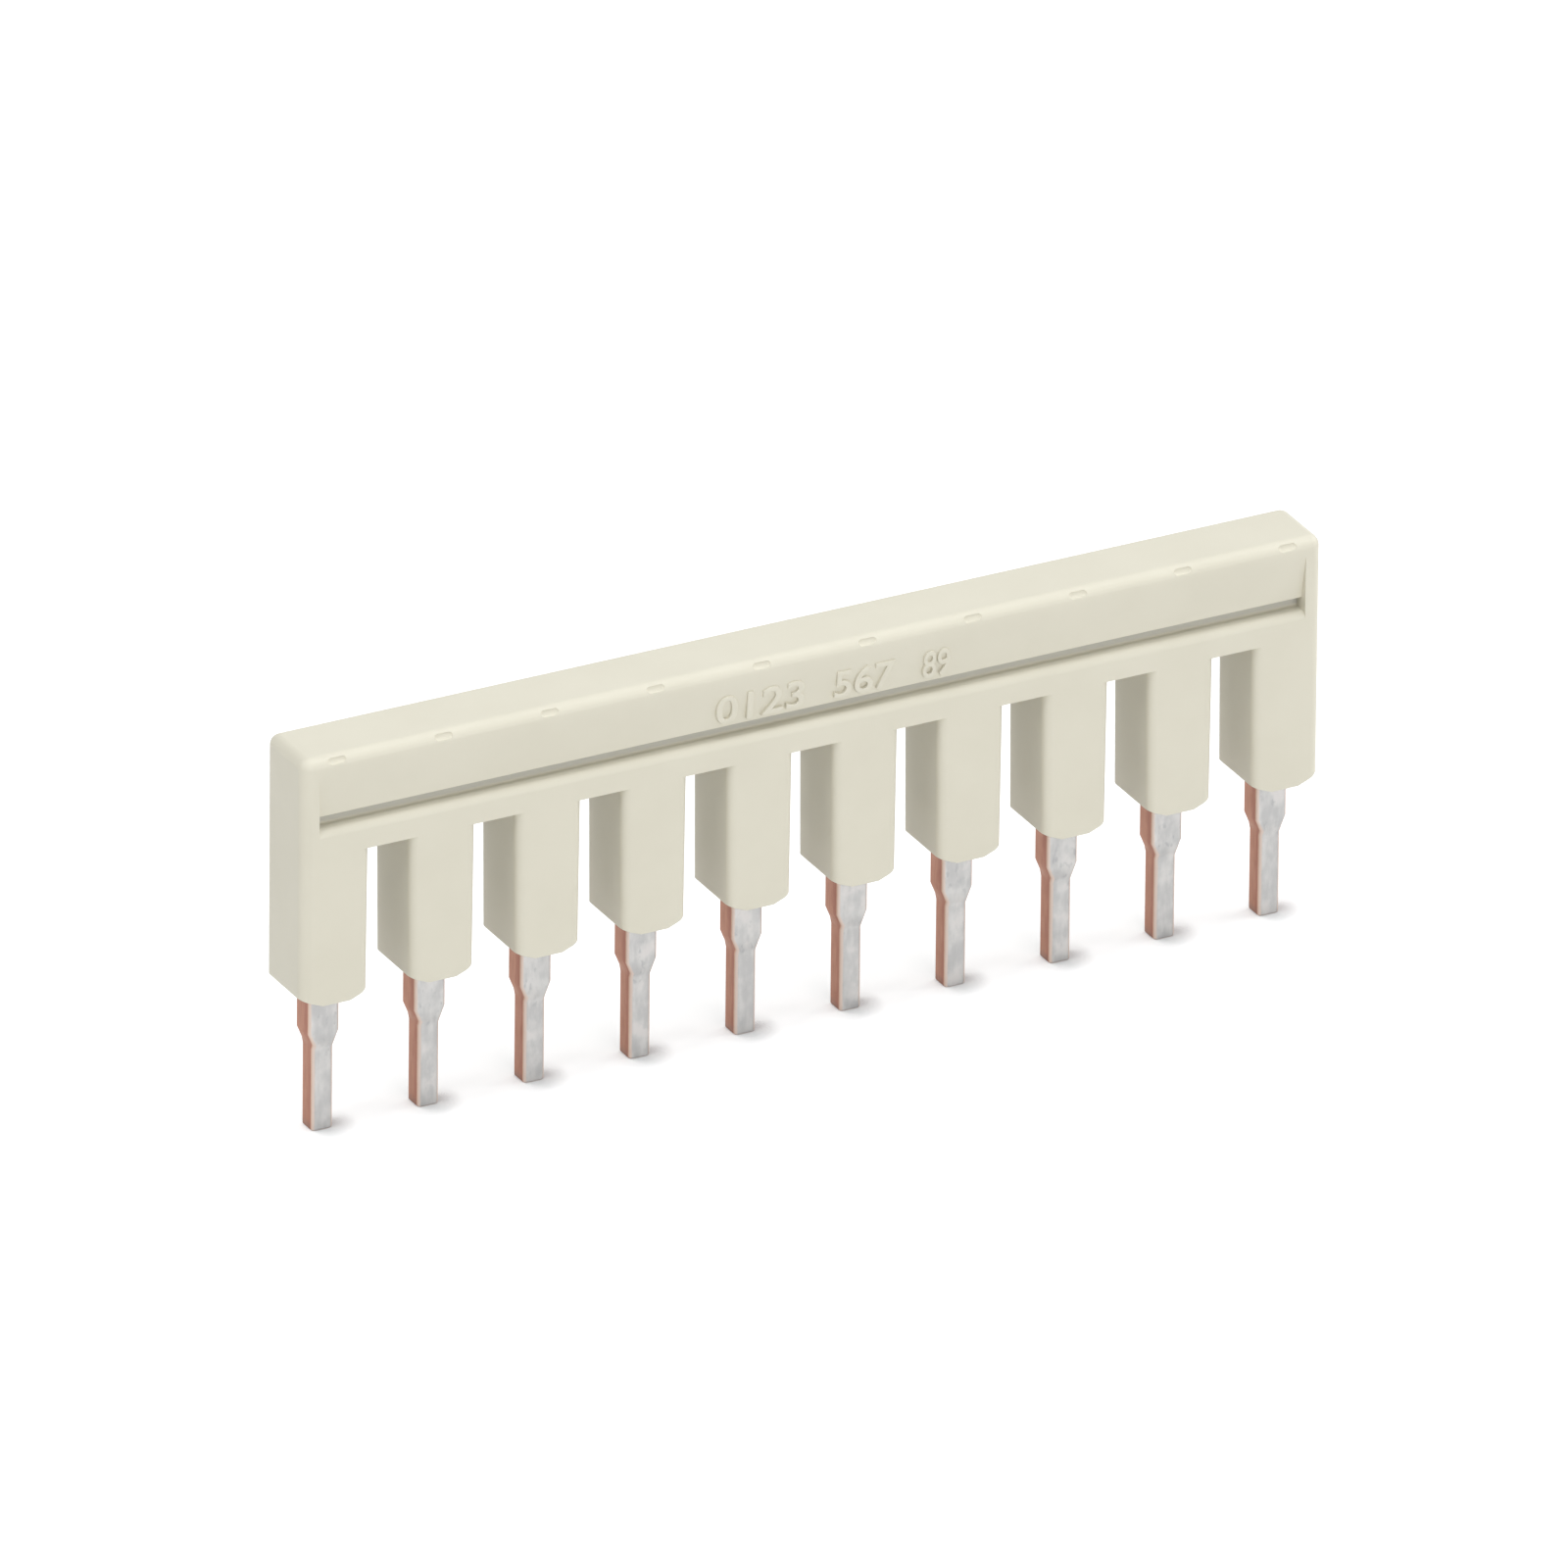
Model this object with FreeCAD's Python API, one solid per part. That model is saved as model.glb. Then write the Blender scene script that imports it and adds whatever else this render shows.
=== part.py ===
import FreeCAD, Part
import math
import os

# Plug-in jumper bar for a row of rail terminals, in millimetres.
# One stamped comb of tinned copper strip joins the poles, and one moulded
# housing covers it, with a hollow leg round each blade and a bare pin below.
#
# Frame: X runs along the row, -Y is the front with the recessed panel, +Z is up.
# The origin is under the middle of the bar, in the plane of the pin tips.

# The row
WAYS = 10
PITCH = 5.0
END_REACH = 1.65

# Housing, from the pin tips upwards
PIN_REACH = 6.45
LEG_LENGTH = 6.95
BAR_HEIGHT = 4.6
DEPTH = 3.4

# Housing edges
TOP_EDGE_R = 0.48
END_EDGE_R = 0.5
LEG_EDGE_R = 0.4

# Legs, which taper a little for the mould, from their root in the bar to the foot
LEG_ROOT_WIDTH = 3.14
LEG_FOOT_WIDTH = 3.0
FOOT_LAND_WIDTH = 1.28
FOOT_CHAMFER_HEIGHT = 0.35

# Panel that slopes into the front from a flush upper edge, and the lever groove under it
PANEL_END_LAND = 0.8
PANEL_DROP = 0.83
PANEL_DEPTH = 0.34
PANEL_FOOT_R = 0.06
GROOVE_DROP = 2.83
GROOVE_HEIGHT = 0.55
GROOVE_DEPTH = 0.8
GROOVE_LIP_R = 0.42

# Small dimple on the top front edge, one over each pole
DIMPLE_R = 0.2
DIMPLE_STRAIGHT = 0.5
DIMPLE_BITE = 0.1
DIMPLE_TILT = 57.0

# Comb, stamped from strip
STRIP = 1.2
WEB_HEIGHT = 2.6
WEB_RISE = 0.5
BLADE_WIDTH = 1.45
BLADE_EDGE_R = 0.09
SHOULDER_REACH = 1.85

# Pins: the neck narrows the blade, and a short ramp then presses it thinner than the strip
NECK_LENGTH = 0.55
PRESS_RAMP = 0.16
PIN_WIDTH = 1.0
PIN_THICKNESS = 0.95
PIN_EDGE_R = 0.13
TIP_BEVEL = 0.09

# Room between the comb and the plastic moulded round it
MOULD_GAP = 0.02

# How far a cutting tool runs past the face that it opens
OVERRUN = 1.0

foot_z = PIN_REACH
ceiling_z = foot_z + LEG_LENGTH
top_z = ceiling_z + BAR_HEIGHT
front_y = -DEPTH / 2
back_y = DEPTH / 2
row_half = PITCH * (WAYS - 1) / 2
bar_half = row_half + END_REACH
web_z = ceiling_z + WEB_RISE
blade_half = BLADE_WIDTH / 2


def pole_places():
    """X of each pole, from left to right."""
    return [PITCH * way - row_half for way in range(WAYS)]


def on_xy(z):
    """Places a flat outline in the level plane at height z."""
    return lambda u, v: FreeCAD.Vector(u, v, z)


def on_xz(y):
    """Places a flat outline in the upright plane at depth y."""
    return lambda u, v: FreeCAD.Vector(u, y, v)


def on_yz(x):
    """Places a flat outline in the cross plane at x."""
    return lambda u, v: FreeCAD.Vector(x, u, v)


def rounded_wire(corners, place):
    """Closed wire through corners (u, v, radius), with each rounded corner as a tangent arc."""
    joints = []
    count = len(corners)
    for i, (u, v, radius) in enumerate(corners):
        here = FreeCAD.Vector(u, v, 0)
        before = FreeCAD.Vector(*corners[i - 1][:2], 0)
        after = FreeCAD.Vector(*corners[(i + 1) % count][:2], 0)
        if radius <= 0:
            joints.append((here, None, here))
            continue
        to_before = (before - here).normalize()
        to_after = (after - here).normalize()
        half_angle = to_before.getAngle(to_after) / 2
        trim = radius / math.tan(half_angle)
        inward = (to_before + to_after).normalize()
        centre = here + inward * (radius / math.sin(half_angle))
        joints.append((here + to_before * trim, centre - inward * radius, here + to_after * trim))

    def set_in(point):
        return place(point.x, point.y)

    edges = []
    for i, (arc_start, arc_middle, arc_end) in enumerate(joints):
        if arc_middle is not None:
            edges.append(Part.Arc(set_in(arc_start), set_in(arc_middle), set_in(arc_end)).toShape())
        next_start = joints[(i + 1) % count][0]
        if (next_start - arc_end).Length > 1e-6:
            edges.append(Part.LineSegment(set_in(arc_end), set_in(next_start)).toShape())
    return Part.Wire(edges)


def rounded_rectangle(x, half_width, half_depth, radius, z):
    """Level rectangle round (x, 0) with equal rounded corners."""
    corners = [
        (x - half_width, -half_depth, radius),
        (x + half_width, -half_depth, radius),
        (x + half_width, half_depth, radius),
        (x - half_width, half_depth, radius),
    ]
    return rounded_wire(corners, on_xy(z))


def prism(wire, direction):
    """Solid swept from the face of a closed wire along a straight direction."""
    return Part.Face(wire).extrude(direction)


def block(low, high):
    """Box between two corners."""
    size = high - low
    return Part.makeBox(size.x, size.y, size.z, low)


def bar():
    """The bar above the legs, with rounded ends and a rounded top."""
    blank = block(FreeCAD.Vector(-bar_half, front_y, ceiling_z), FreeCAD.Vector(bar_half, back_y, top_z))
    upright = [edge for edge in blank.Edges if edge.BoundBox.ZLength > 1e-3]
    blank = blank.makeFillet(END_EDGE_R, upright)
    rim = [edge for edge in blank.Edges if edge.BoundBox.ZMin > top_z - 1e-3]
    return blank.makeFillet(TOP_EDGE_R, rim)


def leg(x, outer_side):
    """Leg round one blade. Its outer side, if it has one, stands flush with the end of the bar."""
    land = FOOT_LAND_WIDTH / 2
    slope = FOOT_CHAMFER_HEIGHT / (LEG_FOOT_WIDTH / 2 - land)
    root_z = ceiling_z + BAR_HEIGHT / 4
    outline = []
    for side in (-1, 1):
        at_end = side == outer_side
        foot_half = END_REACH if at_end else LEG_FOOT_WIDTH / 2
        root_half = END_REACH if at_end else LEG_ROOT_WIDTH / 2
        flank = [
            (x + side * root_half, root_z, 0),
            (x + side * foot_half, foot_z + slope * (foot_half - land), 0),
            (x + side * land, foot_z, 0),
        ]
        outline += flank if side < 0 else flank[::-1]
    solid = prism(rounded_wire(outline, on_xz(front_y)), FreeCAD.Vector(0, DEPTH, 0))
    for side in (-1, 1):
        radius = END_EDGE_R if side == outer_side else LEG_EDGE_R
        flank_edges = [edge for edge in solid.Edges if is_flank_edge(edge, x, side)]
        solid = solid.makeFillet(radius, flank_edges)
    return solid


def is_flank_edge(edge, x, side):
    """True for the two long upright edges on one side of a leg."""
    runs_up = edge.BoundBox.ZLength > LEG_LENGTH / 2
    return runs_up and side * (edge.CenterOfMass.x - x) > blade_half


def panel_tool():
    """Sloping panel and lever groove in the front, as one profile drawn along the bar."""
    panel_top = top_z - PANEL_DROP
    groove_top = top_z - GROOVE_DROP
    groove_foot = groove_top - GROOVE_HEIGHT
    lead_in = PANEL_DEPTH / 2
    rise = lead_in * (panel_top - groove_top) / PANEL_DEPTH
    outside = front_y - OVERRUN
    panel_half = bar_half - PANEL_END_LAND
    corners = [
        (outside, panel_top + rise, 0),
        (front_y - lead_in, panel_top + rise, 0),
        (front_y + PANEL_DEPTH, groove_top, PANEL_FOOT_R),
        (front_y + GROOVE_DEPTH, groove_top, 0),
        (front_y + GROOVE_DEPTH, groove_foot, 0),
        (front_y, groove_foot, GROOVE_LIP_R),
        (front_y, groove_foot - GROOVE_LIP_R, 0),
        (outside, groove_foot - GROOVE_LIP_R, 0),
    ]
    return prism(rounded_wire(corners, on_yz(-panel_half)), FreeCAD.Vector(2 * panel_half, 0, 0))


def dimple_tool(x):
    """Round-ended rod that bites a small dimple out of the top front edge."""
    tilt = math.radians(DIMPLE_TILT)
    stand_off = TOP_EDGE_R + DIMPLE_R - DIMPLE_BITE
    y = front_y + TOP_EDGE_R - math.sin(tilt) * stand_off
    z = top_z - TOP_EDGE_R + math.cos(tilt) * stand_off
    left = FreeCAD.Vector(x - DIMPLE_STRAIGHT / 2, y, z)
    right = FreeCAD.Vector(x + DIMPLE_STRAIGHT / 2, y, z)
    rod = Part.makeCylinder(DIMPLE_R, DIMPLE_STRAIGHT, left, FreeCAD.Vector(1, 0, 0))
    return rod.fuse([Part.makeSphere(DIMPLE_R, left), Part.makeSphere(DIMPLE_R, right)])


def web(room):
    """The strip that joins the blades, with room added all round."""
    reach = row_half + blade_half + room
    half_strip = STRIP / 2 + room
    return block(
        FreeCAD.Vector(-reach, -half_strip, web_z - room),
        FreeCAD.Vector(reach, half_strip, web_z + WEB_HEIGHT + room),
    )


def blade_room(x):
    """The bore of a leg round its blade, from below the foot up into the room for the web."""
    low_z = foot_z - OVERRUN
    high_z = web_z + WEB_HEIGHT / 2
    half_width = blade_half + MOULD_GAP
    half_depth = STRIP / 2 + MOULD_GAP
    section = rounded_rectangle(x, half_width, half_depth, BLADE_EDGE_R + MOULD_GAP, low_z)
    return prism(section, FreeCAD.Vector(0, 0, high_z - low_z))


def blade_with_pin(x):
    """A blade, the neck, the pressed ramp and the pin with its bevelled tip, as solids that meet."""
    neck_z = foot_z - SHOULDER_REACH
    ramp_z = neck_z - NECK_LENGTH
    pin_z = ramp_z - PRESS_RAMP
    half_pin = PIN_WIDTH / 2
    half_thick = PIN_THICKNESS / 2
    tip = rounded_rectangle(x, half_pin - TIP_BEVEL, half_thick - TIP_BEVEL, PIN_EDGE_R, 0)
    pin_foot = rounded_rectangle(x, half_pin, half_thick, PIN_EDGE_R, TIP_BEVEL)
    pin_top = rounded_rectangle(x, half_pin, half_thick, PIN_EDGE_R, pin_z)
    neck_foot = rounded_rectangle(x, half_pin, STRIP / 2, BLADE_EDGE_R, ramp_z)
    blade_foot = rounded_rectangle(x, blade_half, STRIP / 2, BLADE_EDGE_R, neck_z)
    bevelled_end = Part.makeLoft([tip, pin_foot], True, True)
    pin = prism(pin_foot, FreeCAD.Vector(0, 0, pin_z - TIP_BEVEL))
    ramp = Part.makeLoft([pin_top, neck_foot], True, True)
    neck = Part.makeLoft([neck_foot, blade_foot], True, True)
    blade = prism(blade_foot, FreeCAD.Vector(0, 0, web_z + WEB_HEIGHT / 2 - neck_z))
    return [bevelled_end, pin, ramp, neck, blade]


def make_housing():
    """Moulded housing, hollow for the comb."""
    poles = pole_places()
    outer_sides = {poles[0]: -1, poles[-1]: 1}
    solid = bar().fuse([leg(x, outer_sides.get(x, 0)) for x in poles])
    tools = [panel_tool(), web(MOULD_GAP)]
    tools += [dimple_tool(x) for x in poles]
    tools += [blade_room(x) for x in poles]
    return solid.cut(tools).removeSplitter()


def make_comb():
    """Stamped comb: the web with a blade and a pin at each pole."""
    runs = []
    for x in pole_places():
        runs += blade_with_pin(x)
    return web(0).fuse(runs).removeSplitter()


def main():
    os.makedirs("parts", exist_ok=True)
    nodes = {"housing": make_housing(), "contact_comb": make_comb()}
    for name, shape in nodes.items():
        solid = shape.Solids[0] if len(shape.Solids) == 1 else shape
        box = solid.BoundBox
        print(name, "solids", len(shape.Solids), "valid", solid.isValid(), "volume", round(solid.Volume, 2))
        print("  from", round(box.XMin, 2), round(box.YMin, 2), round(box.ZMin, 2))
        print("  to", round(box.XMax, 2), round(box.YMax, 2), round(box.ZMax, 2))
        solid.exportStep(os.path.join("parts", name + ".step"))


main()
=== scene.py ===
# %% [markdown]
# # A plug-in jumper bar for rail terminals
#
# The real thing has two pieces: a comb that is stamped from tinned copper strip, and a cream
# plastic housing that is moulded round it, with one hollow leg for each blade. Ten bare pins
# stick out below. The frame holds the CAD model of both pieces, and this lesson models them
# again for the eye: softer edges, the raised digits, and finishes that belong to moulded
# plastic, to tin and to sheared copper.

# %% Load the frame
import math
import bmesh
import bpy
from mathutils import Matrix, Vector


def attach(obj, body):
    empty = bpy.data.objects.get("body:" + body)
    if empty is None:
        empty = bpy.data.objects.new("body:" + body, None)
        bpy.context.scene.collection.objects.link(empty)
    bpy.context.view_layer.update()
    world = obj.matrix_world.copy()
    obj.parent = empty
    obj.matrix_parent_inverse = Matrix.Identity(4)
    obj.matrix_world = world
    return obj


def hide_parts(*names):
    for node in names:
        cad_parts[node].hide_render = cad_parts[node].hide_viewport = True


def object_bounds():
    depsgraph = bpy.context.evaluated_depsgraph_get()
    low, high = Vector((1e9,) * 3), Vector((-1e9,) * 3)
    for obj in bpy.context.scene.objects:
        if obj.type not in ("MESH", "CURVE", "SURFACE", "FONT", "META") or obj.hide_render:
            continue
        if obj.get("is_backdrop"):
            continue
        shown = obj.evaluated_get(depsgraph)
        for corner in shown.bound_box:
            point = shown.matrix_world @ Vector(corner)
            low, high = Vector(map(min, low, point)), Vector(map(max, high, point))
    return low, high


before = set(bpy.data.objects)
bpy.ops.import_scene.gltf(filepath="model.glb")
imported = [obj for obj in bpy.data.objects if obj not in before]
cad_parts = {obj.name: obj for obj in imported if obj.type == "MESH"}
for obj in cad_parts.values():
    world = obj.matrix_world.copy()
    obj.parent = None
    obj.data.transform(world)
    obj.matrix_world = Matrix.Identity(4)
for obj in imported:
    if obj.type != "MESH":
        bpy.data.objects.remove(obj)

MM = 0.001


def in_mm(*lengths):
    """Lengths in metres, as short numbers of millimetres."""
    return [round(length / MM, 2) for length in lengths]


cad_low, cad_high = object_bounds()
print("CAD box in mm", in_mm(*cad_low, *cad_high))

# %% [markdown]
# ## The working units
#
# A part of 48 mm is tiny next to Blender's default distances: merging doubles at its usual
# 0.1 mm would eat every small edge here. So each piece is modelled with one Blender unit for
# one millimetre, and brought down to metres when it is finished. The numbers then read like
# those on a drawing.

# %% The sizes of the bar, in millimetres
PITCH, WAYS = 5.0, 10
POLES = [PITCH * (way - (WAYS - 1) / 2) for way in range(WAYS)]
FRONT, BACK = -1.7, 1.7
FOOT, CEILING, TOP = 6.45, 13.4, 18.0
BAR_END = 24.15
print(WAYS, "poles from", POLES[0], "to", POLES[-1], "mm")

# %% [markdown]
# ## Small hand tools
#
# Operators act on whatever is selected, and the frame arrives selected. These helpers put
# everything down first, take up one object, and select its edges by where they lie, as an eye
# and a hand would do in edit mode. The last group adds a block at its size and rounds it.

# %% Take up one object
def put_down():
    """Leaves edit mode and deselects everything."""
    if bpy.context.mode != "OBJECT":
        bpy.ops.object.mode_set(mode="OBJECT")
    bpy.ops.object.select_all(action="DESELECT")


def take(obj):
    """Makes obj the only thing selected, and the active one."""
    put_down()
    obj.select_set(True)
    bpy.context.view_layer.objects.active = obj


def fix_place():
    """Moves the place, turn and scale of the selected object into its mesh."""
    bpy.ops.object.transform_apply(location=True, rotation=True, scale=True)


# %% Select edges by where they lie
SAME_PLACE = 1e-3


def near(a, b):
    """True for two places that are the same to a thousandth of a millimetre."""
    return abs(a - b) < SAME_PLACE


def lying_at(**place):
    """The rule for edges that lie at one place from end to end, such as z=0."""

    def rule(*ends):
        return all(near(getattr(end, axis), place[axis]) for end in ends for axis in place)

    return rule


def climbing(a, b):
    """The rule for edges that go from one height to another."""
    return not near(a.z, b.z)


def clear_marks(obj, mode):
    """Opens obj in edit mode with nothing selected, and closes it again."""
    take(obj)
    bpy.ops.object.mode_set(mode="EDIT")
    bpy.ops.mesh.select_mode(type=mode)
    bpy.ops.mesh.select_all(action="DESELECT")
    bpy.ops.object.mode_set(mode="OBJECT")


def edit_edges(obj, rule):
    """Opens obj in edit mode with the edges selected whose two ends fit the rule."""
    clear_marks(obj, "EDGE")
    points = obj.data.vertices
    for edge in obj.data.edges:
        a, b = (points[i] for i in edge.vertices)
        if rule(a.co, b.co):
            edge.select = a.select = b.select = True
    bpy.ops.object.mode_set(mode="EDIT")


# %% Add a block, round it and look at it
def block(name, low, high):
    """A cube between two corners, with its place in its mesh."""
    put_down()
    low, high = Vector(low), Vector(high)
    bpy.ops.mesh.primitive_cube_add(size=1, location=(low + high) / 2)
    obj = bpy.context.object
    obj.name = name
    obj.scale = high - low
    fix_place()
    return obj


def bevel(width, steps):
    """Rounds the selected edges to a radius."""
    bpy.ops.mesh.bevel(
        offset=width, offset_type="OFFSET", segments=steps, affect="EDGES", clamp_overlap=False
    )
    put_down()


def describe(obj, what):
    """Prints how large a mesh is and whether it is closed."""
    reader = bmesh.new()
    reader.from_mesh(obj.data)
    size = f"{len(reader.faces)} faces, {reader.calc_volume():.2f} cubic mm"
    loose = sum(not edge.is_manifold for edge in reader.edges)
    print(f"{what}: {size}, {loose} open edges")
    reader.free()


# %% [markdown]
# ## The bar
#
# The bar is a plain block with rounded ends and a rounded top. Its four upright edges and the
# rim of its top take one bevel together, so that the corners come out as parts of a ball. Only
# the four edges of its underside stay sharp, because the legs grow out of it there.

# %% The bar
END_EDGE = 0.49
EDGE_STEPS = 8

housing = block("moulded_housing", (-BAR_END, FRONT, CEILING), (BAR_END, BACK, TOP))
edit_edges(housing, lambda a, b: not (near(a.z, CEILING) and near(b.z, CEILING)))
bevel(END_EDGE, EDGE_STEPS)
describe(housing, "bar")

# %% [markdown]
# ## The panel and the lever groove
#
# The front has a long panel that starts flush at its upper edge and slopes into the bar, and
# under it a groove where a screwdriver levers the bar out. Inset and extrude could sink both
# into the front, but the slope would then have to be turned into place by eye. It is easier to
# shape the waste instead: one block that fills groove and panel, with its upper part slanted,
# which is then taken out of the bar in one cut. The waste also carries the hollow of the
# groove's lip, so that the cut leaves a long soft edge there, which catches the light.

# %% Select faces, score and combine
ON_PLANE = 1e-5


def edit_faces(obj, rule):
    """Opens obj in edit mode with the faces selected whose middle and normal fit the rule."""
    clear_marks(obj, "FACE")
    for face in obj.data.polygons:
        if rule(face.center, face.normal):
            face.select = True
            for i in face.vertices:
                obj.data.vertices[i].select = True
    bpy.ops.object.mode_set(mode="EDIT")


def edit_all(obj):
    """Opens obj in edit mode with everything selected."""
    take(obj)
    bpy.ops.object.mode_set(mode="EDIT")
    bpy.ops.mesh.select_all(action="SELECT")


def score(obj, at, normal):
    """Cuts new edges into obj along a plane and takes nothing away."""
    edit_all(obj)
    bpy.ops.mesh.bisect(plane_co=at, plane_no=normal, threshold=ON_PLANE)
    put_down()


def combine(obj, tool, operation):
    """Joins tool to obj, or cuts it out of it, and uses the tool up."""
    take(obj)
    modifier = obj.modifiers.new("combine", "BOOLEAN")
    modifier.operation = operation
    modifier.solver = "EXACT"
    modifier.object = tool
    bpy.ops.object.modifier_apply(modifier=modifier.name)
    bpy.data.meshes.remove(tool.data)


# %% Shape the waste: the groove, and the slanted part above it
PANEL_HALF, PANEL_TOP, PANEL_DEPTH = 23.35, 17.17, 0.34
GROOVE_TOP, GROOVE_FLOOR, GROOVE_DEPTH = 15.15, 14.62, 0.8
CLEAR = 1.0
SQUARE_ON = 0.9
panel_foot, groove_back = FRONT + PANEL_DEPTH, FRONT + GROOVE_DEPTH
# The slant goes on past the front, so that the cut leaves no skin at the panel's upper edge.
lead_in = PANEL_DEPTH / 2
rise = (PANEL_TOP - GROOVE_TOP) * (1 + lead_in / PANEL_DEPTH)

corner = (-PANEL_HALF, FRONT - CLEAR, GROOVE_FLOOR)
waste = block("waste", corner, (PANEL_HALF, groove_back, GROOVE_TOP))
score(waste, (0, panel_foot, 0), (0, 1, 0))
edit_faces(waste, lambda middle, normal: normal.z > SQUARE_ON and middle.y < panel_foot)
bpy.ops.mesh.extrude_region_move(TRANSFORM_OT_translate={"value": (0, 0, rise)})
edit_edges(waste, lying_at(y=panel_foot, z=GROOVE_TOP + rise))
bpy.ops.transform.translate(value=(0, -PANEL_DEPTH - lead_in, 0))
put_down()
describe(waste, "waste")

# %% Give it the lip's hollow and two small rounds, and cut it out
LIP, PANEL_FOOT_EDGE, GROOVE_CORNER = 0.37, 0.03, 0.14
SMALL_STEPS, FINE_STEPS = 4, 3
SLIVER = 1e-4

score(waste, (0, FRONT, 0), (0, 1, 0))
edit_faces(waste, lambda middle, normal: normal.z < -SQUARE_ON and middle.y < FRONT)
bpy.ops.mesh.extrude_region_move(TRANSFORM_OT_translate={"value": (0, 0, -LIP)})
edit_edges(waste, lying_at(y=FRONT, z=GROOVE_FLOOR))
bevel(LIP - SLIVER, EDGE_STEPS)
edit_edges(waste, lying_at(y=panel_foot, z=GROOVE_TOP))
bevel(PANEL_FOOT_EDGE, FINE_STEPS)
edit_edges(waste, lying_at(y=groove_back, z=GROOVE_FLOOR))
bevel(GROOVE_CORNER, SMALL_STEPS)
describe(waste, "rounded waste")
combine(housing, waste, "DIFFERENCE")
describe(housing, "with panel and groove")

# %% [markdown]
# ## The legs
#
# Each leg is a hollow tube round a blade. It tapers a little towards its foot so that it
# leaves the mould, its four upright edges are rounded, and the foot has a flat land with a
# chamfer to each side. One way would be to extrude the whole comb outline at once, but then
# the upright edges run into the ceilings of the slots, where a bevel has nowhere to end. A leg
# on its own is easy to round, and a boolean joins it to the bar, as a mould maker would cut
# the leg's cavity and the bar's cavity one after the other.

# %% Slice with a plane, and break sharp edges
BROKEN, BROKEN_STEPS, BROKEN_FROM = 0.04, 2, math.radians(40)


def cut_away(obj, at, normal):
    """Slices obj with a plane, drops what the normal points to and closes the cut."""
    edit_all(obj)
    bpy.ops.mesh.bisect(
        plane_co=at, plane_no=normal, use_fill=True, clear_outer=True, threshold=ON_PLANE
    )
    put_down()


def break_edges(obj):
    """Gives every edge that is still sharp a small round."""
    take(obj)
    modifier = obj.modifiers.new("break edges", "BEVEL")
    modifier.width = BROKEN
    modifier.segments = BROKEN_STEPS
    modifier.limit_method = "ANGLE"
    modifier.angle_limit = BROKEN_FROM
    bpy.ops.object.modifier_apply(modifier=modifier.name)


# %% One leg, rounded and chamfered
LEG_ROOT, LEG_ROOT_HALF, LEG_FOOT_HALF, LEG_EDGE = 14.0, 1.565, 1.497, 0.4
END_HALF = BAR_END - POLES[-1]
LAND_HALF, CHAMFER_RUN, CHAMFER_RISE = 0.64, 0.86, 0.35


def leg(outer_side=0):
    """A leg round a blade at the middle. The outer side of an end leg goes straight down."""
    reach = {side: side * (END_HALF if side == outer_side else LEG_ROOT_HALF) for side in (-1, 1)}
    obj = block("leg", (reach[-1], FRONT, FOOT), (reach[1], BACK, LEG_ROOT))
    for side in (-1, 1):
        if side != outer_side:
            edit_edges(obj, lying_at(x=reach[side], z=FOOT))
            bpy.ops.transform.translate(value=(side * (LEG_FOOT_HALF - LEG_ROOT_HALF), 0, 0))
            put_down()
    for side in (-1, 1):
        edit_edges(obj, lambda a, b: climbing(a, b) and side * a.x > 0)
        bevel(END_EDGE if side == outer_side else LEG_EDGE, EDGE_STEPS)
    for side in (-1, 1):
        cut_away(obj, (side * LAND_HALF, 0, FOOT), (side * CHAMFER_RISE, 0, -CHAMFER_RUN))
    break_edges(obj)
    return obj


# %% Ten legs on the bar
def join(objects):
    """Makes one object of several."""
    take(objects[0])
    for obj in objects:
        obj.select_set(True)
    bpy.ops.object.join()
    return bpy.context.object


def repeat(obj, places):
    """Sets a copy of obj, with its own mesh, at each place along X, and joins the copies."""
    row = []
    for x in places:
        take(obj)
        bpy.ops.object.duplicate()
        bpy.ops.transform.translate(value=(x, 0, 0))
        fix_place()
        row.append(bpy.context.object)
    bpy.data.meshes.remove(obj.data)
    return join(row)


legs = join([repeat(leg(-1), POLES[:1]), repeat(leg(), POLES[1:-1]), repeat(leg(1), POLES[-1:])])
describe(legs, "ten legs")
combine(housing, legs, "UNION")
describe(housing, "bar with legs")

# %% [markdown]
# ## Dimples
#
# A small blind mark sits over each pole on the rounded front edge of the top: it shows where
# the pin is. A block whose every edge is rounded to half its thickness is a capsule, and ten
# of those, laid into the edge at 57 degrees from straight up, leave ten shallow bites.

# %% Ten capsules, and their bites
DIMPLE_R, DIMPLE_LONG, DIMPLE_BITE = 0.2, 0.9, 0.1
TILT = math.radians(57)
away = END_EDGE + DIMPLE_R - DIMPLE_BITE
dimple_y = FRONT + END_EDGE - away * math.sin(TILT)
dimple_z = TOP - END_EDGE + away * math.cos(TILT)

middle = Vector((0, dimple_y, dimple_z))
half = Vector((DIMPLE_LONG / 2, DIMPLE_R, DIMPLE_R))
capsule = block("capsule", middle - half, middle + half)
edit_edges(capsule, lambda a, b: True)
bevel(DIMPLE_R - SAME_PLACE, EDGE_STEPS)
combine(housing, repeat(capsule, POLES), "DIFFERENCE")
describe(housing, "with dimples")

# %% [markdown]
# ## The room inside
#
# The plastic flows round the metal, so the room inside is the comb's own form with a hair of
# space: a long slot for the web and a shaft down each leg. Only the ends of the shafts show,
# as a thin line round each blade.

# %% The comb's room
STRIP_HALF, BLADE_HALF, HAIR, SHAFT_EDGE = 0.6, 0.725, 0.02, 0.11
WEB_LOW, WEB_HIGH, WEB_END = 13.9, 16.5, 23.225
shaft_x, web_x, room_y = BLADE_HALF + HAIR, WEB_END + HAIR, STRIP_HALF + HAIR

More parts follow.
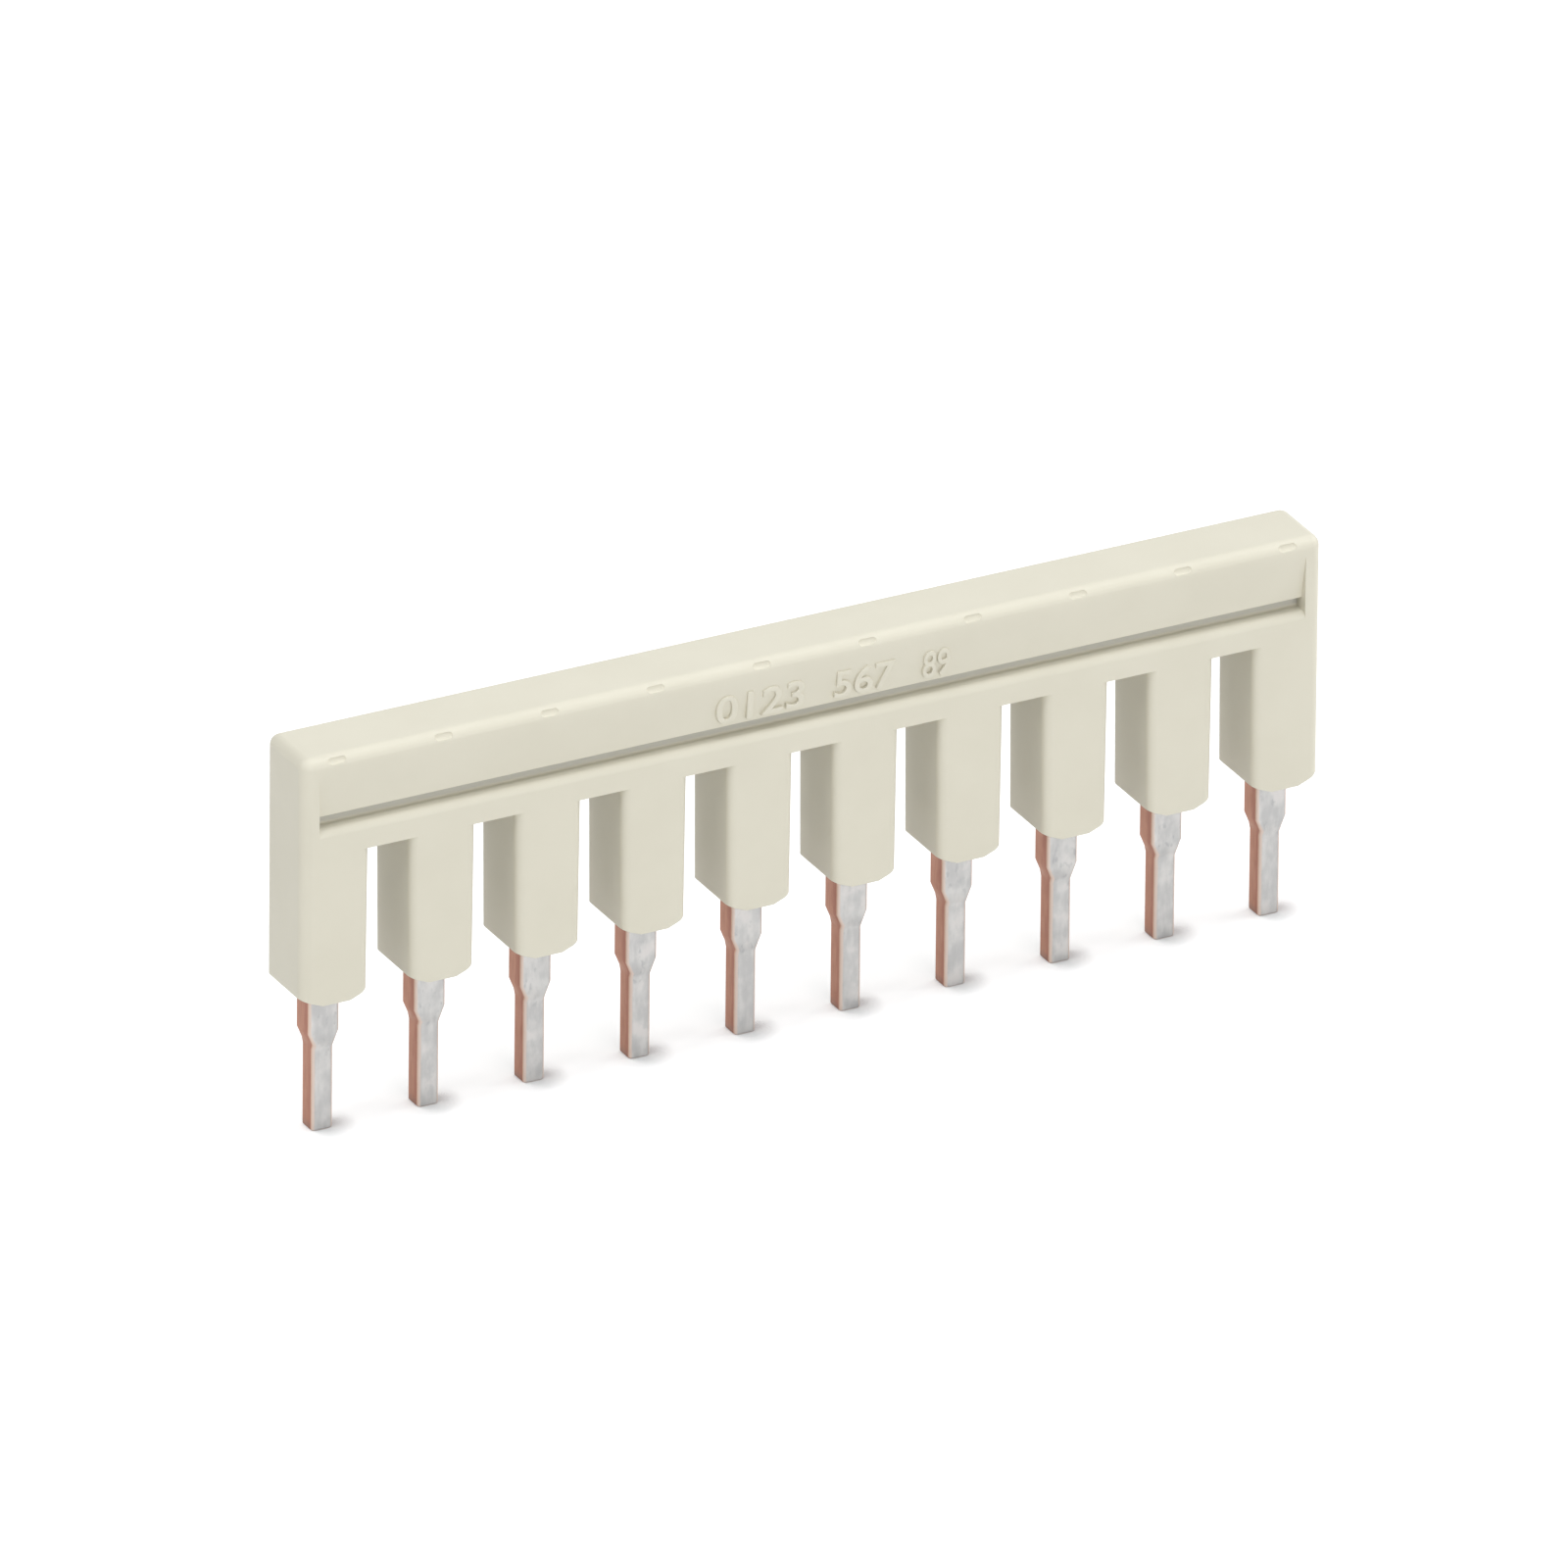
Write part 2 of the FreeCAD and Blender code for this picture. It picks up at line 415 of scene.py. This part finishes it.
shaft = block("shaft", (-shaft_x, -room_y, FOOT - CLEAR), (shaft_x, room_y, WEB_LOW + CLEAR))
edit_edges(shaft, climbing)
bevel(SHAFT_EDGE, FINE_STEPS)
room = block("room", (-web_x, -room_y, WEB_LOW - HAIR), (web_x, room_y, WEB_HIGH + HAIR))
combine(room, repeat(shaft, POLES), "UNION")
combine(housing, room, "DIFFERENCE")
describe(housing, "with its room")

# %% [markdown]
# ## The contact comb
#
# One strip, 1.2 mm thick, is stamped into a web with ten blades. Below the foot of its leg a
# blade narrows to a pin, and a short ramp shows where the pin was pressed thinner. Each blade
# starts as a block that is scored at the heights where its form changes, and the rings of
# points below a score are then drawn in, as the press does it. The edges of the front face
# are rolled over a little, and those of the back face are nearly square.

# %% One blade
NECK_TOP, NECK_END, RAMP_END = 4.6, 4.05, 3.8
PIN_HALF, PIN_DEEP_HALF = 0.5, 0.475
ROLLED, BURR, TIP, ROOTED = 0.19, 0.07, 0.07, 0.5
narrower, thinner = (PIN_HALF / BLADE_HALF, 1, 1), (1, PIN_DEEP_HALF / STRIP_HALF, 1)

blade = block("blade", (-BLADE_HALF, -STRIP_HALF, 0), (BLADE_HALF, STRIP_HALF, WEB_LOW + ROOTED))
for height in (NECK_TOP, NECK_END, RAMP_END):
    score(blade, (0, 0, height), (0, 0, 1))
for height, draw_in in ((NECK_END, narrower), (RAMP_END, thinner)):
    edit_edges(blade, lambda a, b: max(a.z, b.z) < height + SAME_PLACE)
    bpy.ops.transform.resize(value=draw_in, center_override=(0, 0, 0))
edit_edges(blade, lambda a, b: climbing(a, b) and max(a.y, b.y) < 0)
bevel(ROLLED, SMALL_STEPS)
edit_edges(blade, lambda a, b: climbing(a, b) and min(a.y, b.y) > 0)
bevel(BURR, FINE_STEPS)
edit_edges(blade, lying_at(z=0))
bevel(TIP, FINE_STEPS)
describe(blade, "blade")

# %% Ten blades and the web
comb = block("stamped_comb", (-WEB_END, -STRIP_HALF, WEB_LOW), (WEB_END, STRIP_HALF, WEB_HIGH))
combine(comb, repeat(blade, POLES), "UNION")
describe(comb, "comb")

# %% [markdown]
# ## The raised digits
#
# On the panel the real bar has its ratings in raised letters. Plain digits stand for them
# here, in three groups. They lean half as far as the panel does, so they rise higher from its
# foot than from its top, and their upper ends are flush with the front. A text is only a curve
# until it is made a mesh. It is fitted to the width of its group and set with its back inside
# the plastic, so that a union can make it one with the housing, as the mould does. The four is
# not used, because its outline crosses itself in Blender's own font, and the union would come
# out open there.

# %% A text made a mesh
DIGIT_THICK, DIGIT_EDGE, DIGIT_EDGE_STEPS = 0.36, 0.03, 2
TEXT_SIZE, CURVE_STEPS = 2, 6


def text_mesh(text):
    """Thick digits with a small bevel, lying flat."""
    put_down()
    bpy.ops.object.text_add()
    obj = bpy.context.object
    obj.name = "digits_" + text
    obj.data.body = text
    obj.data.size = TEXT_SIZE
    obj.data.resolution_u = CURVE_STEPS
    obj.data.extrude = DIGIT_THICK / 2 - DIGIT_EDGE
    obj.data.bevel_depth = DIGIT_EDGE
    obj.data.bevel_resolution = DIGIT_EDGE_STEPS
    bpy.ops.object.convert(target="MESH")
    edit_all(obj)
    bpy.ops.mesh.remove_doubles(threshold=SLIVER)
    put_down()
    return obj


# %% Three groups of digits on the panel
DIGIT_HIGH, DIGIT_LIFT, DIGIT_SINK = 1.34, 0.22, 0.125
digit_lean = math.atan2(PANEL_DEPTH, PANEL_TOP - GROOVE_TOP) / 2


def digits(text, left, right):
    """Raised digits between two places along the panel."""
    obj = text_mesh(text)
    low = [min(point.co[k] for point in obj.data.vertices) for k in (0, 1)]
    high = [max(point.co[k] for point in obj.data.vertices) for k in (0, 1)]
    take(obj)
    obj.location = (-low[0], -low[1], 0)
    fix_place()
    obj.scale = ((right - left) / (high[0] - low[0]), DIGIT_HIGH / (high[1] - low[1]), 1)
    obj.rotation_euler = (math.radians(90) + digit_lean, 0, 0)
    obj.location = (left, FRONT + DIGIT_SINK + DIGIT_THICK / 2, GROOVE_TOP + DIGIT_LIFT)
    fix_place()
    return obj


raised = join([digits("0123", -4.62, -0.45), digits("567", 0.98, 3.82), digits("89", 5.17, 6.45)])
combine(housing, raised, "UNION")
describe(housing, "with digits")

# %% [markdown]
# ## From millimetres to metres
#
# The booleans leave a few slivers without any area, which are dissolved first. Each piece is
# then brought to the frame's metres. Only edges sharper than 30 degrees stay sharp in
# the shading, and the weighted normals keep the large flat faces flat next to small rounds.
# Then each piece rides on the one body and takes the place of its CAD node.

# %% Settle the pieces in the frame
SHARP_FROM = math.radians(30)


def settle(obj):
    """Brings a finished piece from millimetres to metres."""
    edit_all(obj)
    bpy.ops.mesh.dissolve_degenerate(threshold=SLIVER)
    take(obj)
    obj.scale = (MM, MM, MM)
    fix_place()
    bpy.ops.object.shade_smooth_by_angle(angle=SHARP_FROM)
    modifier = obj.modifiers.new("flat faces stay flat", "WEIGHTED_NORMAL")
    modifier.keep_sharp = True
    bpy.ops.object.modifier_apply(modifier=modifier.name)
    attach(obj, "root")
    print(obj.name, "measures", in_mm(*obj.dimensions), "mm")


for piece in (housing, comb):
    settle(piece)
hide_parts("housing")
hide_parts("contact_comb")

# %% [markdown]
# ## The camera
#
# A catalogue lens looks from far away, from the left and from above. Its angles were fitted to
# the photograph: upright leg edges, pin tips and the long edges of the bar all have to fall on
# their places. The distance is long, so the legs at both ends look equally large.

# %% Where the camera looks
TURN, DIP, ROLL = (math.radians(v) for v in (27.925, 26.346, 0.562))
AIM_HIGH, AIM_ACROSS, AIM_UP = 8.5, -0.451, 2.195
AWAY = 2.0

ahead = Vector((math.sin(TURN) * math.cos(DIP), math.cos(TURN) * math.cos(DIP), -math.sin(DIP)))
level = Vector((math.cos(TURN), -math.sin(TURN), 0))
upright = level.cross(ahead)
across = math.cos(ROLL) * level + math.sin(ROLL) * upright
upward = math.cos(ROLL) * upright - math.sin(ROLL) * level
aim = Vector((0, 0, AIM_HIGH * MM)) + AIM_ACROSS * MM * across + AIM_UP * MM * upward
turned = Matrix((across, upward, -ahead)).transposed().to_4x4()
turned.translation = aim - AWAY * ahead
print("the camera stands at", in_mm(*turned.translation), "mm")

# %% The camera
FOCAL_PIXELS, PHOTO_PIXELS, SENSOR = 48556, 1600, 36
NEAREST, FARTHEST = 0.1, 20

put_down()
bpy.ops.object.camera_add()
camera = bpy.context.object
camera.data.sensor_width = SENSOR
camera.data.lens = FOCAL_PIXELS / PHOTO_PIXELS * SENSOR
camera.data.clip_start = NEAREST
camera.data.clip_end = FARTHEST
camera.matrix_world = turned
bpy.context.scene.camera = camera
bpy.context.scene.view_settings.view_transform = "Standard"
print("its lens is", round(camera.data.lens), "mm long")

# %% [markdown]
# ## A small language for materials
#
# A procedural finish is a sum of masks: where it is tinned, where it is sheared, how cloudy the
# plastic is. Written as nodes, each sum is a tangle, so a Signal wraps one socket and lets
# Python's own signs add the Math nodes. Colours never go through Math, which would turn them
# grey: they are mixed by the Graph, which also makes every other node. A Finish is the Graph
# of one material, and its patterns are measured in millimetres on the piece.

# %% Signals
class Signal:
    """A number or a colour on its way through a material."""

    def __init__(self, graph, socket):
        self.graph = graph
        self.socket = socket

    def math(self, operation, *others):
        """Sends this signal and the others through one Math node."""
        return self.graph.node("ShaderNodeMath", {"operation": operation}, self, *others)

    def __add__(self, other):
        return self.math("ADD", other)

    def __sub__(self, other):
        return self.math("SUBTRACT", other)

    def __rsub__(self, other):
        return self.graph.node("ShaderNodeMath", {"operation": "SUBTRACT"}, other, self)

    def __mul__(self, other):
        return self.math("MULTIPLY", other)

    def __abs__(self):
        return self.math("ABSOLUTE")

    __radd__ = __add__
    __rmul__ = __mul__


# %% Graphs
class Graph:
    """A node tree, and the way to add to it."""

    def __init__(self, tree):
        self.tree = tree

    def put(self, socket, value):
        """Links a signal to a socket, or sets a plain value on it."""
        if isinstance(value, Signal):
            self.tree.links.new(value.socket, socket)
        else:
            socket.default_value = value

    def node(self, kind, settings, *values, output=None, **named):
        """Adds a node: its settings, its inputs in their order or by name, and one output."""
        made = self.tree.nodes.new(kind)
        for key, value in settings.items():
            setattr(made, key, value)
        inputs = [socket for socket in made.inputs if socket.enabled]
        for socket, value in zip(inputs, values):
            self.put(socket, value)
        for key, value in named.items():
            self.put(made.inputs[key], value)
        first = next(socket for socket in made.outputs if socket.enabled)
        return Signal(self, made.outputs[output] if output else first)

    def blend(self, mask, first, second):
        """Mixes two colours by a mask."""
        return self.node("ShaderNodeMix", {"data_type": "RGBA"}, mask, first, second)

    def seen(self, *kinds):
        """1 for a ray of one of these kinds, and 0 for the rays that only light the scene."""
        mask, *others = (self.node("ShaderNodeLightPath", {}, output=kind) for kind in kinds)
        for other in others:
            mask = mask.math("MAXIMUM", other)
        return mask


# %% Finishes
class Finish(Graph):
    """One procedural material and the nodes in it."""

    def __init__(self, name):
        self.material = bpy.data.materials.new(name)
        self.material.use_nodes = True
        super().__init__(self.material.node_tree)
        self.surface = self.tree.nodes["Principled BSDF"]
        metres = self.node("ShaderNodeTexCoord", {}, output="Object")
        self.place = self.node("ShaderNodeMapping", {}, Vector=metres, Scale=[1 / MM] * 3)

    def part(self, axis, vector=None):
        """The X, Y or Z of a vector, or of the place on the piece in millimetres."""
        return self.node("ShaderNodeSeparateXYZ", {}, vector or self.place, output=axis)

    def noise(self, scale, detail, stretch=(1, 1, 1), at=(0, 0, 0), lean=0):
        """Noise with this many features to a millimetre, stretched, moved and leant about Y."""
        laid = {"Location": at, "Rotation": (0, lean, 0), "Scale": stretch}
        place = self.node("ShaderNodeMapping", {}, Vector=self.place, **laid)
        return self.node("ShaderNodeTexNoise", {}, Vector=place, Scale=scale, Detail=detail)

    def ramp(self, signal, low, high):
        """Maps a signal to 0 at low and 1 at high, with a soft start and end."""
        soft = {"interpolation_type": "SMOOTHSTEP"}
        return self.node("ShaderNodeMapRange", soft, signal, low, high, 0, 1)

    def band(self, signal, start, full, last, end):
        """1 from full to last, and 0 before start and after end."""
        return self.ramp(signal, start, full) * self.ramp(signal, end, last)

    def shine(self, **inputs):
        """Fills sockets of the surface shader."""
        for key, value in inputs.items():
            self.put(self.surface.inputs[key.replace("_", " ")], value)

    def relief(self, height, depth):
        """Turns a height signal, in parts of depth, into a bump. Depth is in millimetres."""
        self.shine(Normal=self.node("ShaderNodeBump", {}, Distance=depth * MM, Height=height))

    def wear(self, piece):
        """Makes this the one finish of a piece."""
        piece.data.materials.clear()
        piece.data.materials.append(self.material)
        print(f"{piece.name} wears {self.material.name}, {len(self.tree.nodes)} nodes")


# %% [markdown]
# ## The moulded plastic
#
# The housing is a pale, warm grey-cream plastic with a satin skin. It is never quite even: the melt
# leaves faint clouds of tone some millimetres wide, and the skin has a fine, soft grain that breaks
# up its shine. Both are noise, very weak, in the material's own space. The lamps here reach deeper
# into the groove than the real light did, so its back wall, which a mask finds by place, gets
# painted shade: a slightly darker colour, and a rougher skin.

# %% Cream plastic
CREAM_DARK, CREAM_LIGHT = (0.655, 0.622, 0.512, 1), (0.67, 0.637, 0.527, 1)
# A darker tone for the groove's back wall: painted shade.
WALL_PAINTED_SHADE = (0.52, 0.508, 0.452, 1)
WALL_DEPTHS = [FRONT + depth for depth in (0.6, 0.78, 0.9, 1.0)]
WALL_HEIGHTS = (GROOVE_FLOOR, GROOVE_FLOOR + 0.12, GROOVE_TOP, GROOVE_TOP + 0.1)
WALL_ENDS = (PANEL_HALF + 0.2, PANEL_HALF + 0.05)
GRAIN_DEPTH = 0.006

cream = Finish("cream_plastic")
clouds = cream.noise(scale=0.35, detail=3)
grain = cream.noise(scale=14, detail=2)
skin = cream.blend(cream.ramp(clouds, 0.3, 0.7), CREAM_DARK, CREAM_LIGHT)
x, y, z = (cream.part(axis) for axis in "XYZ")
wall = cream.band(y, *WALL_DEPTHS) * cream.band(z, *WALL_HEIGHTS) * cream.ramp(abs(x), *WALL_ENDS)
satin = 0.38 + grain * 0.14 + wall * 0.2
# The groove's back wall is blended to the darker tone here: painted shade.
cream.shine(Base_Color=cream.blend(wall, skin, WALL_PAINTED_SHADE), Roughness=satin)
cream.shine(Specular_IOR_Level=0.42)
cream.relief(grain * 0.6 + clouds * 0.4, GRAIN_DEPTH)
cream.wear(housing)

# %% [markdown]
# ## Tin and sheared copper
#
# The strip is tinned before it is stamped, so the tin covers its two flat faces, and the punch
# lays bare the copper on every edge that it shears. Which finish a point has depends on which
# way the metal faces there: along Y it is tin, along X or Z copper. On the rolled edge between
# them the tin is dragged over the copper, first a trace of it, then a thin pale pink film.

# %% Which metal faces which way
DRAGGED, THIN, TINNED = (0.03, 0.3), (0.28, 0.62), (0.8, 0.98)


def fray(signal, noise, amount):
    """Makes the border ragged that a ramp will draw from this signal."""
    return signal + (noise - 0.5) * amount


metal = Finish("tinned_copper")
facing = metal.node("ShaderNodeNewGeometry", {}, output="Normal")
to_piece = {"vector_type": "NORMAL", "convert_from": "WORLD", "convert_to": "OBJECT"}
flatness = abs(metal.part("Y", metal.node("ShaderNodeVectorTransform", to_piece, facing)))
ragged = metal.noise(scale=5, detail=3)
edge = fray(flatness, ragged, 0.1)
dragged, thin, tinned = (metal.ramp(edge, *limits) for limits in (DRAGGED, THIN, TINNED))
print("the tin starts at a flatness of", TINNED[0], "and is whole at", TINNED[1])

# %% [markdown]
# ## What the punch and the press leave
#
# A sheared edge has two zones: the punch first burnishes it, and then the rest of the thickness
# breaks, which leaves it redder and rougher. The copper is a little darker towards the ends of the
# pins. Tin keeps a record of what slid over it: broad soft smudges, streaks that lean the way the
# strip was drawn, and small dark specks where the neck was pressed.

# %% Copper
COPPER_DARK, COPPER_LIGHT = (0.372, 0.185, 0.128, 1), (0.417, 0.216, 0.151, 1)
BROKEN_TONE, TIP_END_TONE = (0.358, 0.174, 0.133, 1), (0.27, 0.18, 0.155, 1)
BREAK_DEPTHS, TIP_END_HEIGHTS = (0.1, -0.35), (0.45, 0.1)

y, z = metal.part("Y"), metal.part("Z")
drawn = metal.noise(scale=4, detail=3, stretch=(1, 2.5, 0.25), at=(5, 2, 0))
broken = metal.ramp(fray(y, drawn, 0.4), *BREAK_DEPTHS)
# The copper gets darker towards the ends of the pins.
towards_tip_end = metal.ramp(fray(z, ragged, 0.6), *TIP_END_HEIGHTS)
sheared = metal.blend(metal.ramp(drawn, 0.35, 0.65), COPPER_DARK, COPPER_LIGHT)
sheared = metal.blend(broken * 0.6, sheared, BROKEN_TONE)
sheared = metal.blend(towards_tip_end * 0.5, sheared, TIP_END_TONE)
print("the pins are darker up to", TIP_END_HEIGHTS[0], "mm")

# %% Tin
TIN_DARK, TIN_LIGHT = (0.418, 0.412, 0.408, 1), (0.522, 0.513, 0.5, 1)
SPECK_TONE, PALE_TONE = (0.34, 0.34, 0.345, 1), (0.57, 0.54, 0.525, 1)
PRESSED_HEIGHTS = (3.3, 3.8, 5.0, 6.2)
DRAWN_LEAN, SPECK_LEAN = math.radians(20), math.radians(-25)

smudges = metal.noise(scale=1.1, detail=4, at=(3, 7, 1))
streaks = metal.noise(scale=2.2, detail=4, stretch=(1.8, 1, 0.5), lean=DRAWN_LEAN)
specks = metal.noise(scale=3.2, detail=4, stretch=(1.2, 1, 0.7), at=(1, 1, 4), lean=SPECK_LEAN)
pressed = metal.band(z, *PRESSED_HEIGHTS)
tin = metal.blend(metal.ramp(streaks * 0.4 + smudges * 0.6, 0.36, 0.64), TIN_DARK, TIN_LIGHT)
tin = metal.blend(metal.ramp(specks, 0.58, 0.72) * (0.2 + pressed * 0.5), tin, SPECK_TONE)
tin = metal.blend(metal.ramp(smudges, 0.54, 0.7) * 0.5, tin, PALE_TONE)
print("the neck was pressed from", PRESSED_HEIGHTS[1], "to", PRESSED_HEIGHTS[2], "mm")

# %% The metal put together
DRAGGED_TONE, THIN_TONE = (0.57, 0.395, 0.31, 1), (0.62, 0.52, 0.46, 1)
STREAK_DEPTH = 0.012

bare = metal.blend(dragged, sheared, DRAGGED_TONE)
bare = metal.blend(thin, bare, THIN_TONE)
rough = 0.4 + 0.22 * smudges + 0.12 * broken * (1 - tinned) - 0.04 * tinned
metal.shine(Base_Color=metal.blend(tinned, bare, tin), Metallic=0.95, Roughness=rough)
metal.relief(streaks * 0.4 + smudges * 0.3 + specks * 0.3, STREAK_DEPTH)
metal.wear(comb)

# %% [markdown]
# ## Floor, room and lamps
#
# The photograph is a catalogue picture: a white room with light from everywhere, and broad
# soft lamps to both sides, in front and above. The world gives the even part. For the camera
# and for shine it is plain white. The floor is lifted to white for them too, but still takes
# the shadow under the pins. A small floor is enough, and all of it lies in the lamps' light.
#
# Right beside each pin tip, towards the front right, the real bar casts a short dark shadow on the
# floor. It is painted here: an occlusion node that looks the other way finds the pin within a
# millimetre, and takes both the paper's colour and its lift down there.

# %% The white floor
FLOOR_WIDE, FLOOR_LIFT = 0.8, 0.4
WHITE, BLACK = (1, 1, 1, 1), (0, 0, 0, 1)
# The darker paper is painted shadow beside each pin tip.
PAPER, PAINTED_SHADOW_PAPER = (0.77, 0.77, 0.77, 1), (0.45, 0.45, 0.45, 1)
PAINTED_SHADOW_REACH, PAINTED_SHADOW_LIFT, TOWARDS_PIN = 1.2 * MM, 0.25, (-0.62, 0.54, 0.57)

put_down()
bpy.ops.mesh.primitive_plane_add(size=FLOOR_WIDE)
floor = bpy.context.object
floor.name = "floor"
paper = Finish("white_paper")
looking = {"Distance": PAINTED_SHADOW_REACH, "Normal": paper.node("ShaderNodeCombineXYZ", {}, *TOWARDS_PIN)}
around = paper.node("ShaderNodeAmbientOcclusion", {"samples": 2}, output="AO", **looking)
lit = paper.ramp(around, 0.45, 0.95)
lift = paper.seen("Is Camera Ray", "Is Glossy Ray") * (PAINTED_SHADOW_LIFT + (1 - PAINTED_SHADOW_LIFT) * lit)
# Where the occlusion finds a pin, the paper's colour and lift are darkened: painted shadow.
paper.shine(Base_Color=paper.blend(lit, PAINTED_SHADOW_PAPER, PAPER), Roughness=0.9)
paper.shine(Emission_Color=paper.blend(lift, BLACK, WHITE), Emission_Strength=FLOOR_LIFT)
paper.shine(Specular_IOR_Level=0)
paper.wear(floor)
floor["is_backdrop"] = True

# %% The white room
ROOM_LIGHT, PLAIN_WHITE = 0.35, 1.0

world = bpy.data.worlds.new("white_room")
bpy.context.scene.world = world
world.use_nodes = True
air = Graph(world.node_tree)
seen = air.seen("Is Camera Ray", "Is Glossy Ray", "Is Transmission Ray")
soft = air.node("ShaderNodeBackground", {}, WHITE, ROOM_LIGHT)
white = air.node("ShaderNodeBackground", {}, WHITE, PLAIN_WHITE)
both = air.node("ShaderNodeMixShader", {}, seen, soft, white)
air.put(world.node_tree.nodes["World Output"].inputs["Surface"], both)
print("the room lights the part at a strength of", ROOM_LIGHT)

# %% Four soft lamps
LAMP_AWAY, LAMP_WIDE, LAMP_AIM = 0.6, 0.4, 10 * MM


def softbox(name, azimuth, elevation, strength, tint=(1, 1, 1)):
    """A square lamp aimed at the part. At strength 1 it alone makes a card that faces it white."""
    turn, up = math.radians(azimuth), math.radians(elevation)
    towards = Vector((math.sin(turn) * math.cos(up), -math.cos(turn) * math.cos(up), math.sin(up)))
    put_down()
    bpy.ops.object.light_add(type="AREA", location=LAMP_AWAY * towards + Vector((0, 0, LAMP_AIM)))
    lamp = bpy.context.object
    lamp.name = name
    lamp.data.size = LAMP_WIDE
    lamp.data.energy = strength * math.pi**2 * LAMP_AWAY**2
    lamp.data.color = tint
    lamp.rotation_euler = towards.to_track_quat("Z", "Y").to_euler()
    print(name, "has", round(lamp.data.energy, 2), "watts")


softbox("lamp_left", azimuth=-90, elevation=50, strength=0.38)
softbox("lamp_right", azimuth=90, elevation=35, strength=0.47)
softbox("lamp_front", azimuth=0, elevation=15, strength=0.4)
softbox("lamp_above", azimuth=0, elevation=78, strength=0.3, tint=(0.93, 1, 1.07))

# %% [markdown]
# ## The visual box
#
# The box of the visual model has to stay that of the CAD model. It is printed here, to be read
# against the CAD box printed at the start.

low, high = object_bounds()
print("visual box in mm", in_mm(*low, *high))
